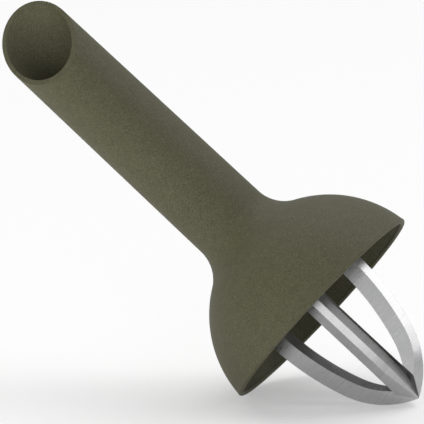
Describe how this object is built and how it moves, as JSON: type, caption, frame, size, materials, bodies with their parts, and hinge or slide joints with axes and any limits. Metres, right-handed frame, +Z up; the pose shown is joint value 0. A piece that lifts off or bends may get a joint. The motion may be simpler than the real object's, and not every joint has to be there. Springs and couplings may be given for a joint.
{
  "type": "citrus reamer",
  "caption": "Hand citrus reamer: a hollow handle with a slanted end flows into a splash bell, and a pull-out steel reamer of raked, curved blades stands in the bell and ends in a point.",
  "frame": {"origin": "middle of the part's box, on the surface that the tool rests on", "axes": "+Z up, +X towards the tip of the reamer, +Y to the back, across the tool; the tool lies in the XZ plane, leaning on the bell's rim and the lower blade"},
  "size_m": [0.146, 0.0772, 0.1215],
  "materials": {
    "shell": "matte olive fibre-filled plastic, finely speckled",
    "socket": "plain dark moulded plastic",
    "blade_steel": "stainless steel, finely brushed across the blade",
    "hub_steel": "turned stainless steel",
    "screw_steel": "bright stainless steel",
    "seal": "soft grey silicone",
    "ring_rubber": "black rubber"
  },
  "bodies": {
    "reamer": {"hub_plate": "hub_steel", "hub_seal": "seal", "stem": "hub_steel", "hub_screw": "screw_steel", "grip_rings": "ring_rubber", "blade_front": "blade_steel", "blade_upper": "blade_steel", "blade_back": "blade_steel", "blade_lower": "blade_steel"},
    "grip": {"body_shell": "shell", "neck_socket": "socket"}
  },
  "joints": [
    {"name": "reamer_pull", "type": "slide", "parent": "reamer", "child": "grip", "axis": [-0.7699, 0, 0.6381], "range_m": [0, 0.062]}
  ]
}
